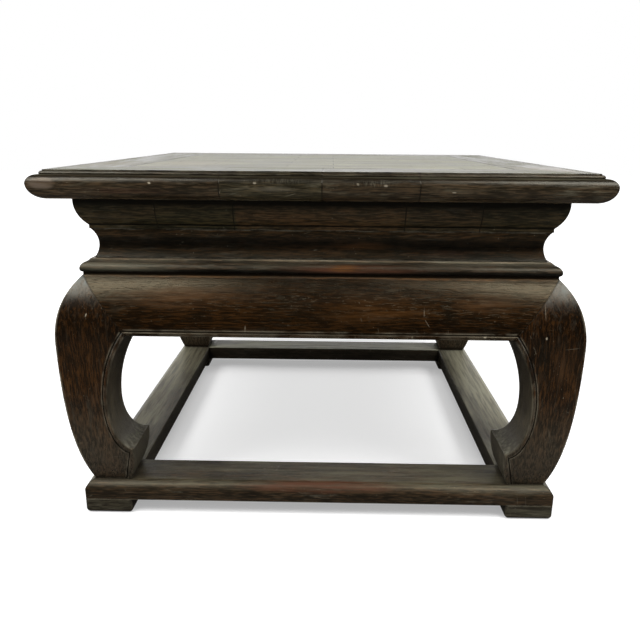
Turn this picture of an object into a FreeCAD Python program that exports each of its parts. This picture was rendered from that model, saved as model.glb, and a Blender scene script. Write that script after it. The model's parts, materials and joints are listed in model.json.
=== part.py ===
import FreeCAD, Part

import os

from FreeCAD import Vector

# A low square table with a waist, bulging aprons and hoof legs on a base frame.
# Heights run up from the floor. Insets run inwards from the arris, the square edge
# line of the top, so a point outside the arris has a negative inset.

# Top frame
arris_span = 630.0
top_thickness = 33.0
top_rail_width = 76.0
arris_drop = 1.3
lip_drop = 4.3
lip_reach = 3.3
nose_overhang = 15.0
nose_drop = 14.5
top_tenon_inset = 18.0
top_tenon_width = 20.0
top_tenon_rise = 6.5
top_tenon_thickness = 9.0
top_tenon_end_inset = 4.0

# Panel and battens
panel_thickness = 16.0
panel_edge_gap = 0.7
panel_groove_depth = 9.0
panel_tongue_drop = 6.5
panel_tongue_thickness = 5.5
batten_width = 32.0
batten_height = 14.0
batten_spacing = 220.0
batten_tenon_length = 12.0
batten_tenon_width = 20.0
batten_tenon_height = 8.0
dovetail_height = 4.0
dovetail_neck_width = 18.0
dovetail_head_width = 22.0

# Quirks, the narrow grooves under the lip and beside the beads
lip_quirk_width = 1.0
lip_quirk_depth = 0.8
bead_quirk_width = 1.6
bead_quirk_depth = 1.2

# Mouldings and waist boards
ring_back_inset = 50.0
upper_height = 38.5
upper_front_inset = 22.0
upper_land_height = 6.0
upper_fillet_inset = 34.5
upper_fillet_height = 4.5
waist_height = 36.0
waist_top_inset = 35.5
waist_deep_inset = 42.3
waist_bottom_inset = 37.0
lower_height = 16.0
lower_top_inset = 33.4
lower_front_inset = 22.2
lower_crown_radius = 8.0
lower_under_radius = 4.5
ring_tongue_inset = 44.0
ring_tongue_thickness = 4.0
ring_tongue_height = 5.0

# Aprons
apron_height = 72.0
apron_back_inset = 44.0
apron_back_drop = 24.0
apron_toe_inset = 26.0
neck_inset = 25.5
neck_height = 2.5
bead_width = 5.2
bead_rise = 1.7
bead_rounding = 1.9
apron_groove_inset = 32.0
apron_tongue_inset = 16.0
apron_tongue_thickness = 8.0
apron_tongue_length = 14.0
apron_tongue_rise = 10.0
apron_tongue_height = 24.0

# Legs, with heights above the base frame, and the widest level below the apron
leg_height = 278.0
widest_overhang = 5.0
widest_drop = 11.5
shoulder_reach = 12.0
shoulder_fall = 48.0
shin_fall = 110.0
hoof_outer_inset = 18.5
ankle_reach = 13.5
ankle_rise = 34.5
knee_inset = 81.0
knee_reach = 18.0
knee_fall = 24.0
calf_inset = 51.5
calf_height = 109.5
calf_upper_rise = 40.0
calf_lower_fall = 30.0
tip_inset = 77.0
tip_height = 50.5
tip_reach = 15.0
tip_rise = 2.5
hoof_inner_inset = 66.0
post_inset = 50.3
post_width = 22.0
post_tenon_width = 8.0
post_tenon_length = 18.0
foot_tenon_inset = 30.0
foot_tenon_width = 20.0
foot_tenon_length = 37.0

# Base frame and feet
base_inset = 6.0
base_rail_width = 64.0
base_thickness = 25.0
base_ease_width = 12.5
base_ease_height = 14.0
base_inner_ease = 1.5
base_corner_radius = 4.0
base_tenon_inset = 12.0
base_tenon_width = 14.0
base_tenon_rise = 8.0
base_tenon_thickness = 9.0
base_tenon_end_inset = 10.0
foot_height = 20.5
foot_width = 62.0
foot_edge_radius = 6.0

# Fits
side_clearance = 0.15
end_clearance = 0.8
overrun = 60.0

# How far an arc's middle stands off its chord, of the way to its corner: a quarter circle, fuller, flatter ones
round_share = 2 ** 0.5 - 1
full_share = 0.45
soft_share = 0.3
flat_share = 0.25

half_span = arris_span / 2
base_top = foot_height + base_thickness
apron_top = base_top + leg_height
apron_bottom = apron_top - apron_height
widest_level = apron_bottom - widest_drop
neck_bottom = apron_top - neck_height
waist_bottom = apron_top + lower_height
waist_top = waist_bottom + waist_height
top_underside = waist_top + upper_height
table_height = top_underside + top_thickness
cut_reach = half_span + nose_overhang + overrun


# Every front piece is drawn in a plane across the table and runs along X.
def across(inset, height):
    return Vector(-cut_reach, inset - half_span, height)


# A leg is drawn on the front of its corner and runs back along Y.
def along(inset, height):
    return Vector(inset - half_span, -cut_reach, height)


# A step is a point to go straight to, an arc's middle and end, or two handles and the end of a curve.
def outline(start, *steps):
    edges = []
    here = start
    for step in steps + (start,):
        if isinstance(step, Vector):
            edges.append(Part.LineSegment(here, step).toShape())
            here = step
            continue
        if len(step) == 2:
            edges.append(Part.Arc(here, *step).toShape())
        else:
            curve = Part.BezierCurve()
            curve.setPoles([here, *step])
            edges.append(curve.toShape())
        here = step[-1]
    return Part.Face(Part.Wire(edges))


def bow(start, corner, end, share):
    middle = (start + end) / 2
    return (middle + (corner - middle) * share, end)


def block(inset_x, inset_y, bottom, width_x, width_y, height):
    corner = Vector(inset_x - half_span, inset_y - half_span, bottom)
    return Part.makeBox(width_x, width_y, height, corner)


def grown(inset_x, inset_y, bottom, width_x, width_y, height, side, end):
    return block(inset_x - end, inset_y - side, bottom - side,
                 width_x + 2 * end, width_y + 2 * side, height + 2 * side)


# The front quarter of the plan, between the two diagonals.
def mitred(shape):
    left = Vector(-cut_reach, -cut_reach, -overrun)
    right = Vector(cut_reach, -cut_reach, -overrun)
    centre = Vector(0, 0, -overrun)
    wedge = Part.Face(Part.makePolygon([centre, left, right, centre]))
    return shape.common(wedge.extrude(Vector(0, 0, table_height + 2 * overrun)))


def front_run(face):
    return face.extrude(Vector(2 * cut_reach, 0, 0))


def other_end(shape):
    return shape.mirror(Vector(0, 0, 0), Vector(1, 0, 0))


# The same shape on the other face of a corner.
def swapped(shape):
    return shape.mirror(Vector(0, 0, 0), Vector(1, -1, 0))


def quarter_turns(shape, count):
    turned = shape.copy()
    turned.rotate(Vector(0, 0, 0), Vector(0, 0, 1), 90 * count)
    return turned


def tongue(inset, bottom, side, end):
    return front_run(outline(
        across(inset - side, bottom - end),
        across(inset - side, bottom + ring_tongue_height + end),
        across(inset + ring_tongue_thickness + side, bottom + ring_tongue_height + end),
        across(inset + ring_tongue_thickness + side, bottom - end)))


# Top frame
def top_rail_body():
    nose_level = table_height - nose_drop
    nose_lower_radius = nose_level - top_underside
    quirk_level = table_height - lip_drop - lip_quirk_width
    arris_foot = across(0, table_height - arris_drop)
    lip = across(-lip_reach, table_height - lip_drop)
    quirk = across(lip_quirk_depth - lip_reach, table_height - lip_drop - lip_quirk_width / 2)
    nose_start = across(-lip_reach, quirk_level)
    nose = across(-nose_overhang, nose_level)
    under = across(nose_lower_radius - nose_overhang, top_underside)
    rail = front_run(outline(
        across(top_rail_width, top_underside),
        across(top_rail_width, table_height),
        across(0, table_height),
        arris_foot,
        bow(arris_foot, across(-lip_reach, table_height - arris_drop), lip, round_share),
        quirk,
        nose_start,
        bow(nose_start, across(-nose_overhang, quirk_level), nose, full_share),
        bow(nose, across(-nose_overhang, top_underside), under, round_share)))
    groove_top = table_height - panel_tongue_drop + side_clearance
    groove_bottom = table_height - panel_tongue_drop - panel_tongue_thickness - side_clearance
    groove = front_run(outline(
        across(top_rail_width - panel_groove_depth, groove_bottom),
        across(top_rail_width - panel_groove_depth, groove_top),
        across(top_rail_width + overrun, groove_top),
        across(top_rail_width + overrun, groove_bottom)))
    rail = rail.cut(groove)
    return rail.cut(tongue(ring_tongue_inset, top_underside, side_clearance, end_clearance))


def top_mitre_tenon(side, end):
    length = top_tenon_inset + top_tenon_width - top_tenon_end_inset
    return grown(top_tenon_end_inset, top_tenon_inset, top_underside + top_tenon_rise,
                 length, top_tenon_width, top_tenon_thickness, side, end)


def post_tenon():
    return (post_inset + post_width - post_tenon_width, post_inset, top_underside,
            post_tenon_width, post_tenon_width, post_tenon_length)


# Each rail takes one tenon of the leg at either end, and its own mitre joint.
def top_rail(tenoned):
    rail = mitred(top_rail_body())
    socket = grown(*post_tenon(), side_clearance, side_clearance)
    rail = rail.cut([socket, other_end(socket)])
    if tenoned:
        tenon = top_mitre_tenon(0, 0)
        rail = rail.fuse([tenon, other_end(tenon)])
        for place in (-1, 1):
            rail = rail.cut(batten_tenons(place * batten_spacing / 2, side_clearance, end_clearance))
        return rail.removeSplitter()
    slot = swapped(top_mitre_tenon(side_clearance, end_clearance))
    return rail.cut([slot, other_end(slot)])


def batten_tenons(centre, side, end):
    length = arris_span - 2 * (top_rail_width - batten_tenon_length) + 2 * end
    middle = table_height - panel_thickness - batten_height / 2
    corner = Vector(centre - batten_tenon_width / 2 - side, -length / 2, middle - batten_tenon_height / 2 - side)
    return Part.makeBox(batten_tenon_width + 2 * side, length, batten_tenon_height + 2 * side, corner)


def batten(centre, side):
    half_length = half_span - top_rail_width
    low = table_height - panel_thickness - batten_height
    top = table_height - panel_thickness
    neck = dovetail_neck_width / 2 + side
    head = dovetail_head_width / 2 + side
    half_width = batten_width / 2
    section = [(-half_width, low), (half_width, low), (half_width, top), (neck, top),
               (head, top + dovetail_height + side), (-head, top + dovetail_height + side),
               (-neck, top), (-half_width, top)]
    corners = [Vector(centre + across_batten, -half_length, level) for across_batten, level in section]
    return outline(*corners).extrude(Vector(0, 2 * half_length, 0))


def top_batten(centre):
    return batten(centre, 0).fuse(batten_tenons(centre, 0, 0)).removeSplitter()


def top_panel():
    visible = arris_span - 2 * (top_rail_width + panel_edge_gap)
    tongued = arris_span - 2 * (top_rail_width - panel_groove_depth + end_clearance)
    body = Part.makeBox(visible, visible, panel_thickness,
                        Vector(-visible / 2, -visible / 2, table_height - panel_thickness))
    edge = Part.makeBox(tongued, tongued, panel_tongue_thickness,
                        Vector(-tongued / 2, -tongued / 2,
                               table_height - panel_tongue_drop - panel_tongue_thickness))
    panel = body.fuse(edge)
    for place in (-1, 1):
        panel = panel.cut(batten(place * batten_spacing / 2, side_clearance))
    return panel


# Mouldings and waist boards
def upper_moulding():
    land = across(upper_front_inset, top_underside - upper_land_height)
    fillet_top = across(upper_fillet_inset, waist_top + upper_fillet_height)
    corner = across(upper_front_inset, waist_top + upper_fillet_height)
    piece = front_run(outline(
        across(ring_back_inset, waist_top),
        across(ring_back_inset, top_underside),
        across(upper_front_inset, top_underside),
        land,
        bow(land, corner, fillet_top, flat_share),
        across(upper_fillet_inset, waist_top)))
    piece = piece.fuse(tongue(ring_tongue_inset, top_underside, 0, 0))
    piece = piece.cut(tongue(ring_tongue_inset, waist_top, side_clearance, end_clearance))
    return mitred(piece)


def waist_board():
    deep = across(waist_deep_inset, (waist_bottom + waist_top) / 2)
    piece = front_run(outline(
        across(ring_back_inset, waist_bottom),
        across(ring_back_inset, waist_top),
        across(waist_top_inset, waist_top),
        (deep, across(waist_bottom_inset, waist_bottom))))
    upper = tongue(ring_tongue_inset, waist_top, 0, 0)
    lower = tongue(ring_tongue_inset, waist_bottom - ring_tongue_height, 0, 0)
    return mitred(piece.fuse([upper, lower]))


def lower_moulding():
    front_level = apron_top + lower_under_radius
    crown_level = front_level + lower_crown_radius
    crown = across(lower_front_inset + lower_crown_radius, crown_level)
    front = across(lower_front_inset, front_level)
    under = across(lower_front_inset + lower_under_radius, apron_top)
    piece = front_run(outline(
        across(ring_back_inset, apron_top),
        across(ring_back_inset, waist_bottom),
        across(lower_top_inset, waist_bottom),
        crown,
        bow(crown, across(lower_front_inset, crown_level), front, round_share),
        bow(front, across(lower_front_inset, apron_top), under, round_share)))
    groove = tongue(ring_tongue_inset, waist_bottom - ring_tongue_height, side_clearance, end_clearance)
    lower = tongue(apron_groove_inset, apron_top - ring_tongue_height, 0, 0)
    return mitred(piece.cut(groove).fuse(lower))


# The swelling outline that aprons and legs share, from the neck down to the widest level.
def shoulder(point, proud):
    neck = point(neck_inset - proud, neck_bottom)
    widest = point(-widest_overhang - proud, widest_level)
    first = point(neck_inset - proud - shoulder_reach, neck_bottom - shoulder_reach)
    second = point(-widest_overhang - proud, widest_level + shoulder_fall)
    return neck, first, second, widest


def mitre_inset(height):
    return neck_inset + (knee_inset - neck_inset) * (neck_bottom - height) / (neck_bottom - apron_bottom)


def apron_front_body(proud):
    neck, first, second, widest = shoulder(across, proud)
    swell = front_run(outline(
        across(apron_back_inset, widest_level),
        across(apron_back_inset, apron_top),
        across(neck_inset - proud, apron_top),
        neck,
        (first, second, widest)))
    keep = front_run(outline(
        across(-overrun, apron_bottom),
        across(-overrun, apron_top),
        across(apron_back_inset, apron_top),
        across(apron_back_inset, apron_top - apron_back_drop),
        across(apron_toe_inset, apron_bottom)))
    return swell.common(keep)


def apron_band(width):
    return front_run(outline(
        across(-overrun, apron_bottom),
        across(-overrun, apron_bottom + width),
        across(apron_toe_inset, apron_bottom + width),
        across(apron_toe_inset, apron_bottom)))


# The two long edges along the front of a bead are rounded over.
def bead_rounded(bead):
    limit = apron_toe_inset - half_span - bead_width
    crest = [edge for edge in bead.Edges if edge.BoundBox.YMax < limit and edge.Length > 2 * bead_width]
    return bead.makeFillet(bead_rounding, crest)


def apron_beaded(leg_sides):
    quirk = apron_band(bead_width + bead_quirk_width).cut(apron_front_body(-bead_quirk_depth))
    bead = mitred(apron_front_body(bead_rise)).common(apron_band(bead_width)).cut(leg_sides)
    return mitred(apron_front_body(0)).cut([quirk, *leg_sides]).fuse(bead_rounded(bead))


def apron_tongue(side, end):
    low = apron_bottom + apron_tongue_rise - side
    high = apron_bottom + apron_tongue_rise + apron_tongue_height + side
    root = apron_tongue_length
    face = outline(
        along(mitre_inset(low) - apron_tongue_length - end, low),
        along(mitre_inset(low) + root, low),
        along(mitre_inset(high) + root, high),
        along(mitre_inset(high) - apron_tongue_length - end, high))
    face.translate(Vector(0, cut_reach - half_span + apron_tongue_inset - side, 0))
    return face.extrude(Vector(0, apron_tongue_thickness + 2 * side, 0))


# The mitre on the face runs from the neck to the corner of the opening.
def apron():
    below = apron_bottom - overrun
    leg_side = outline(
        along(-overrun, neck_bottom),
        along(neck_inset, neck_bottom),
        along(mitre_inset(below), below),
        along(-overrun, below)).extrude(Vector(0, cut_reach, 0))
    piece = apron_beaded([leg_side, other_end(leg_side)])
    piece = piece.cut(tongue(apron_groove_inset, apron_top - ring_tongue_height, side_clearance, end_clearance))
    key = apron_tongue(0, 0)
    return piece.fuse([key, other_end(key)]).removeSplitter()


# Legs
def leg_face():
    neck, first, second, widest = shoulder(along, 0)
    hoof_outer = along(hoof_outer_inset, base_top)
    shin = along(-widest_overhang, widest_level - shin_fall)
    ankle = along(hoof_outer_inset - ankle_reach, base_top + ankle_rise)
    knee = along(knee_inset, apron_bottom)
    below_knee = along(knee_inset - knee_reach, apron_bottom - knee_fall)
    calf = along(calf_inset, base_top + calf_height)
    above_calf = along(calf_inset, base_top + calf_height + calf_upper_rise)
    below_calf = along(calf_inset, base_top + calf_height - calf_lower_fall)
    tip = along(tip_inset, base_top + tip_height)
    above_tip = along(tip_inset - tip_reach, base_top + tip_height + tip_rise)
    hoof_inner = along(hoof_inner_inset, base_top)
    return outline(
        hoof_outer,
        (ankle, shin, widest),
        (second, first, neck),
        knee,
        (below_knee, above_calf, calf),
        (below_calf, above_tip, tip),
        bow(tip, along(tip_inset, base_top), hoof_inner, soft_share))


# The beaded strip lies between the inner edge of the leg and a line one bead in from it.
def bead_side(width):
    above = apron_bottom + overrun
    run = knee_reach / knee_fall
    start = along(knee_inset - width + overrun * run, above)
    knee = along(knee_inset - width, apron_bottom + width / 2)
    below_knee = along(knee_inset - knee_reach - width, apron_bottom - knee_fall + width / 2)
    calf = along(calf_inset - width, base_top + calf_height)
    above_calf = along(calf_inset - width, base_top + calf_height + calf_upper_rise)
    below_calf = along(calf_inset - width, base_top + calf_height - calf_lower_fall)
    tip = along(tip_inset - width, base_top + tip_height - width)
    above_tip = along(tip_inset - tip_reach - width, base_top + tip_height + tip_rise - width)
    hoof_inner = along(hoof_inner_inset - width, base_top)
    return outline(
        start,
        knee,
        (below_knee, above_calf, calf),
        (below_calf, above_tip, tip),
        hoof_inner,
        along(tip_inset + overrun, base_top),
        along(tip_inset + overrun, above))


def proud_strip(proud):
    neck, first, second, widest = shoulder(across, proud)
    shin = across(-widest_overhang - proud, widest_level - shin_fall)
    ankle = across(hoof_outer_inset - ankle_reach - proud, base_top + ankle_rise)
    return front_run(outline(
        across(hoof_outer_inset - proud, base_top),
        (ankle, shin, widest),
        (second, first, neck),
        across(apron_toe_inset, neck_bottom),
        across(apron_toe_inset, base_top)))


# The bead stands proud of the front, with the quirk sunk along its outer side.
def leg_bead(face, depth):
    strip = face.common(bead_side(bead_width).extrude(depth))
    return bead_rounded(strip.common(proud_strip(bead_rise)))


def leg_quirk(face, depth):
    skin = block(-overrun, -overrun, base_top, overrun + knee_inset, overrun + apron_toe_inset, leg_height)
    strip = face.common(bead_side(bead_width + bead_quirk_width).extrude(depth))
    return strip.common(skin).cut(proud_strip(-bead_quirk_depth))


def leg():
    depth = Vector(0, 2 * cut_reach, 0)
    face = leg_face().extrude(depth)
    quirk = leg_quirk(face, depth)
    bead = leg_bead(face, depth)
    body = face.common(swapped(face)).cut([quirk, swapped(quirk)])
    head = block(post_inset, post_inset, apron_bottom, post_width, post_width, top_underside - apron_bottom)
    tenon = block(*post_tenon())
    stub = block(foot_tenon_inset, foot_tenon_inset, base_top - foot_tenon_length,
                 foot_tenon_width, foot_tenon_width, foot_tenon_length)
    whole = body.fuse([bead, swapped(bead), head, tenon, swapped(tenon), stub])
    slot = apron_tongue(side_clearance, end_clearance)
    return whole.cut([slot, swapped(slot)]).removeSplitter()


# Base frame and feet
def foot_socket(depth_end):
    return grown(foot_tenon_inset, foot_tenon_inset, base_top - foot_tenon_length - depth_end,
                 foot_tenon_width, foot_tenon_width, foot_tenon_length + depth_end + overrun,
                 side_clearance, side_clearance)


def base_plan():
    size = arris_span - 2 * base_inset
    plan = Part.makeBox(size, size, base_top, Vector(-size / 2, -size / 2, 0))
    upright = [edge for edge in plan.Edges if abs(edge.tangentAt(edge.FirstParameter).z) > 0.5]
    return plan.makeFillet(base_corner_radius, upright)


def base_mitre_tenon(side, end):
    length = base_tenon_inset + base_tenon_width - base_tenon_end_inset
    return grown(base_tenon_end_inset, base_tenon_inset, foot_height + base_tenon_rise,
                 length, base_tenon_width, base_tenon_thickness, side, end)


def base_rail(tenoned):
    inner = base_inset + base_rail_width
    ease_low = across(base_inset, base_top - base_ease_height)
    ease_high = across(base_inset + base_ease_width, base_top)
    inner_high = across(inner - base_inner_ease, base_top)
    inner_low = across(inner, base_top - base_inner_ease)
    rail = front_run(outline(
        across(base_inset, foot_height),
        ease_low,
        bow(ease_low, across(base_inset, base_top), ease_high, soft_share),
        inner_high,
        bow(inner_high, across(inner, base_top), inner_low, round_share),
        across(inner, foot_height)))
    rail = mitred(rail.common(base_plan()))
    if tenoned:
        tenon = base_mitre_tenon(0, 0)
        rail = rail.fuse([tenon, other_end(tenon)])
    else:
        slot = swapped(base_mitre_tenon(side_clearance, end_clearance))
        rail = rail.cut([slot, other_end(slot)])
    socket = foot_socket(0)
    return rail.cut([socket, other_end(socket)]).removeSplitter()


def foot():
    body = block(base_inset, base_inset, 0, foot_width, foot_width, foot_height)
    upright = [edge for edge in body.Edges if abs(edge.tangentAt(edge.FirstParameter).z) > 0.5]
    body = body.makeFillet(base_corner_radius, upright)
    lowest = [edge for edge in body.Edges if edge.BoundBox.ZMax < foot_height / 2]
    body = body.makeFillet(min(foot_edge_radius, foot_height / 2), lowest)
    return body.cut(foot_socket(end_clearance))


def pieces():
    sides = ("front", "right", "rear", "left")
    corners = ("front_left", "front_right", "rear_right", "rear_left")
    made = {}
    for count, side in enumerate(sides):
        tenoned = side in ("front", "rear")
        made["top_rail_" + side] = quarter_turns(top_rail(tenoned), count)
        made["upper_moulding_" + side] = quarter_turns(upper_moulding(), count)
        made["waist_" + side] = quarter_turns(waist_board(), count)
        made["lower_moulding_" + side] = quarter_turns(lower_moulding(), count)
        made["apron_" + side] = quarter_turns(apron(), count)
        made["base_rail_" + side] = quarter_turns(base_rail(tenoned), count)
    for count, corner in enumerate(corners):
        made["leg_" + corner] = quarter_turns(leg(), count)
        made["foot_" + corner] = quarter_turns(foot(), count)
    made["top_panel"] = top_panel()
    made["top_batten_left"] = top_batten(-batten_spacing / 2)
    made["top_batten_right"] = top_batten(batten_spacing / 2)
    return made


os.makedirs("parts", exist_ok=True)
for name, shape in pieces().items():
    box = shape.BoundBox
    print(name, shape.isValid(), len(shape.Solids), round(shape.Volume),
          [round(value, 1) for value in (box.XMin, box.YMin, box.ZMin, box.XMax, box.YMax, box.ZMax)])
    shape.exportStep("parts/" + name + ".step")
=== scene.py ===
import json
import math

import bmesh
import bpy
from mathutils import Matrix, Vector


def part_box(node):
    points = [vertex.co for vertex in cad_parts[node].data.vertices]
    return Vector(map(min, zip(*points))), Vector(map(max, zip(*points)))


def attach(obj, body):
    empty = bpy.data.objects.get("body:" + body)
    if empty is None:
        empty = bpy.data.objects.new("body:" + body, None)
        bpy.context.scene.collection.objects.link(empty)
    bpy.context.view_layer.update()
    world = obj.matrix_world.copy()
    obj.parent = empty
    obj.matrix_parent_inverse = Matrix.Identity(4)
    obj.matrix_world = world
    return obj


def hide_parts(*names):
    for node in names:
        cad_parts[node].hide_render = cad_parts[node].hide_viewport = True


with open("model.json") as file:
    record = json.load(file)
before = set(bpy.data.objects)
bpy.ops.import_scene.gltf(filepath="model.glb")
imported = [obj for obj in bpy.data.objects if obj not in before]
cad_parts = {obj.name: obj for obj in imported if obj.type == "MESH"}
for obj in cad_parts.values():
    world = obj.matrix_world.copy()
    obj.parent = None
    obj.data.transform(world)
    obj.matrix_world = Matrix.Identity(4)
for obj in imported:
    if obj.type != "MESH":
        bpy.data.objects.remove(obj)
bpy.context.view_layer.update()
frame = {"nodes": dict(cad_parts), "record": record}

scene = bpy.context.scene
scene.view_settings.view_transform = "Standard"


# helpers for shader trees
def colour(values):
    return (*values, 1.0)


def grey(value):
    return (value, value, value, 1.0)


def addNode(tree, kind, settings=None, inputs=None):
    made = tree.nodes.new("ShaderNode" + kind)
    for name, value in (settings or {}).items():
        setattr(made, name, value)
    for name, value in (inputs or {}).items():
        if isinstance(value, bpy.types.NodeSocket):
            tree.links.new(value, made.inputs[name])
        else:
            made.inputs[name].default_value = value
    return made


def calc(tree, operation, first, second=0.0, third=0.0):
    return addNode(tree, "Math", {"operation": operation}, {0: first, 1: second, 2: third}).outputs[0]


def addUp(tree, start, parts):
    total = start
    for value, weight in parts:
        total = calc(tree, "MULTIPLY_ADD", value, weight, total)
    return total


def vectorCalc(tree, operation, first, second=(0, 0, 0)):
    return addNode(tree, "VectorMath", {"operation": operation}, {0: first, 1: second}).outputs["Vector"]


def vectorValue(tree, operation, first, second=(0, 0, 0)):
    return addNode(tree, "VectorMath", {"operation": operation}, {0: first, 1: second}).outputs["Value"]


def split(tree, vector):
    return addNode(tree, "SeparateXYZ", None, {0: vector}).outputs


def ease(tree, value, start, end, low=0.0, high=1.0):
    inputs = {"Value": value, "From Min": start, "From Max": end, "To Min": low, "To Max": high}
    return addNode(tree, "MapRange", {"interpolation_type": "SMOOTHSTEP"}, inputs).outputs[0]


def share(tree, value, start, end):
    return addNode(tree, "MapRange", None, {"Value": value, "From Min": start, "From Max": end}).outputs[0]


def mixValue(tree, factor, first, second):
    return addNode(tree, "Mix", {"data_type": "FLOAT"}, {0: factor, 2: first, 3: second}).outputs[0]


def mixColour(tree, factor, first, second, mode="MIX"):
    mixer = addNode(tree, "Mix", {"data_type": "RGBA", "blend_type": mode}, {0: factor, 6: first, 7: second})
    return mixer.outputs[2]


def cover(tree, base, mask, strength, tint):
    return mixColour(tree, calc(tree, "MULTIPLY", mask, strength), base, tint)


def noise(tree, vector, stretch, detail=2.0, roughness=0.5, distortion=0.0):
    inputs = {"Vector": vectorCalc(tree, "MULTIPLY", vector, stretch), "Scale": 1.0, "Detail": detail,
              "Roughness": roughness, "Distortion": distortion}
    return addNode(tree, "TexNoise", None, inputs).outputs["Fac"]


def newRamp(tree, value, stops, interpolation="LINEAR"):
    made = addNode(tree, "ValToRGB", None, {"Fac": value})
    ramp = made.color_ramp
    ramp.interpolation = interpolation
    ramp.elements.remove(ramp.elements[1])
    ramp.elements[0].color = stops[0][1]
    for at, tint in stops[1:]:
        ramp.elements.new(at).color = tint
    return made.outputs["Color"]


def newGroup(name, inputs, outputs):
    group = bpy.data.node_groups.new(name, "ShaderNodeTree")
    for label, kind in inputs:
        group.interface.new_socket(label, in_out="INPUT", socket_type="NodeSocket" + kind)
    for label in outputs:
        kind = "Vector" if label == "Normal" else "Float"
        group.interface.new_socket(label, in_out="OUTPUT", socket_type="NodeSocket" + kind)
    start = group.nodes.new("NodeGroupInput")
    end = group.nodes.new("NodeGroupOutput")
    return group, start.outputs, end.inputs


def useGroup(tree, group, inputs):
    return addNode(tree, "Group", {"node_tree": group}, inputs).outputs


def newMaterial(name):
    material = bpy.data.materials.new(name)
    material.use_nodes = True
    material.node_tree.nodes.clear()
    return material


cameraPlan = {"place": (0.01279, -1.05141, 0.48894), "yaw": -0.016, "pitch": 0.2847, "roll": 0.0076,
              "lens": 36.0, "sensor": 36.0}  # fitted to the photograph; metres, radians and millimetres


def makeCamera(plan):
    yaw, pitch, roll = plan["yaw"], plan["pitch"], plan["roll"]
    forward = Vector((math.sin(yaw) * math.cos(pitch), math.cos(yaw) * math.cos(pitch), -math.sin(pitch)))
    right = Vector((math.cos(yaw), -math.sin(yaw), 0))
    up = right.cross(forward)
    across = right * math.cos(roll) + up * math.sin(roll)
    upright = up * math.cos(roll) - right * math.sin(roll)
    data = bpy.data.cameras.new("tableCamera")
    data.lens = plan["lens"]
    data.sensor_width = plan["sensor"]
    camera = bpy.data.objects.new("tableCamera", data)
    turned = Matrix((across, upright, -forward)).transposed().to_4x4()
    camera.matrix_world = Matrix.Translation(plan["place"]) @ turned
    scene.collection.objects.link(camera)
    scene.camera = camera


makeCamera(cameraPlan)
print("camera placed")


floorPlan = {"size": 14.0, "shade": 0.75, "seenShade": 0.95, "mirroredShade": 0.1,
             "contactShadowSamples": 8, "contactShadowReach": 0.055, "contactShadowRange": (0.25, 0.95, 0.62, 1.0),
             "glowRange": (0.75, 1.5, 0.57)}  # the paper glows to the camera, fully so from 1.5 m out
skyPlan = {"open": 0.32, "seen": 1.0, "mirrored": 0.02, "mirroredBehind": 2.5,
           "behind": (-0.25, 0.35), "band": (0.45, 0.15)}  # what glossy surfaces mirror is a low band behind
lampAim = (0, 0, 0.25)
lamps = [{"name": "leftTall", "place": (-0.98, -1.0, 1.75), "size": (0.7, 1.2), "power": 26.0},
         {"name": "rightTall", "place": (0.98, -1.0, 1.75), "size": (0.7, 1.2), "power": 26.0},
         {"name": "leftFill", "place": (-2.0, -0.6, 0.7), "size": (1.2, 1.2), "power": 7.0},
         {"name": "rightFill", "place": (2.0, -0.6, 0.7), "size": (1.2, 1.2), "power": 7.0}]


def makePaper(plan):
    paper = newMaterial("floorPaper")
    tree = paper.node_tree
    path = addNode(tree, "LightPath").outputs
    seen = path["Is Camera Ray"]
    unseen = mixColour(tree, path["Is Glossy Ray"], grey(plan["shade"]), grey(plan["mirroredShade"]))
    tint = mixColour(tree, seen, unseen, grey(plan["seenShade"]))
    # painted shadow: seen by the camera, the floor and its glow darken where the table closes over it
    near = addNode(tree, "AmbientOcclusion", {"samples": plan["contactShadowSamples"]},
                   {"Distance": plan["contactShadowReach"]}).outputs["AO"]
    contactShadow = ease(tree, near, *plan["contactShadowRange"])
    contactShadow = calc(tree, "MAXIMUM", contactShadow, calc(tree, "SUBTRACT", 1.0, seen))
    matt = addNode(tree, "BsdfDiffuse", None, {"Color": vectorCalc(tree, "MULTIPLY", tint, contactShadow)})
    flat = vectorCalc(tree, "MULTIPLY", addNode(tree, "TexCoord").outputs["Object"], (1, 1, 0))
    away = vectorValue(tree, "LENGTH", flat)
    glow = calc(tree, "MULTIPLY", ease(tree, away, *plan["glowRange"]), seen)
    glow = calc(tree, "MULTIPLY", glow, contactShadow)
    glowing = addNode(tree, "Emission", None, {"Color": grey(1.0), "Strength": glow})
    both = addNode(tree, "AddShader", None, {0: matt.outputs[0], 1: glowing.outputs[0]})
    addNode(tree, "OutputMaterial", None, {"Surface": both.outputs[0]})
    return paper


def makeFloor(plan):
    shape = bmesh.new()
    bmesh.ops.create_grid(shape, x_segments=1, y_segments=1, size=plan["size"] / 2)
    mesh = bpy.data.meshes.new("studioFloor")
    shape.to_mesh(mesh)
    shape.free()
    floor = bpy.data.objects.new("studioFloor", mesh)
    scene.collection.objects.link(floor)
    mesh.materials.append(makePaper(plan))


def makeSurroundings(plan):
    world = bpy.data.worlds.new("studio")
    world.use_nodes = True
    scene.world = world
    tree = world.node_tree
    tree.nodes.clear()
    part = split(tree, addNode(tree, "TexCoord").outputs["Generated"])
    behind = ease(tree, part["Y"], *plan["behind"])
    band = calc(tree, "MULTIPLY", behind, ease(tree, part["Z"], *plan["band"]))
    mirrored = calc(tree, "MULTIPLY_ADD", band, plan["mirroredBehind"] - plan["mirrored"], plan["mirrored"])
    path = addNode(tree, "LightPath").outputs
    strength = mixValue(tree, path["Is Glossy Ray"], plan["open"], mirrored)
    strength = mixValue(tree, path["Is Camera Ray"], strength, plan["seen"])
    light = addNode(tree, "Background", None, {"Color": grey(1.0), "Strength": strength})
    addNode(tree, "OutputWorld", None, {"Surface": light.outputs[0]})


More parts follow.
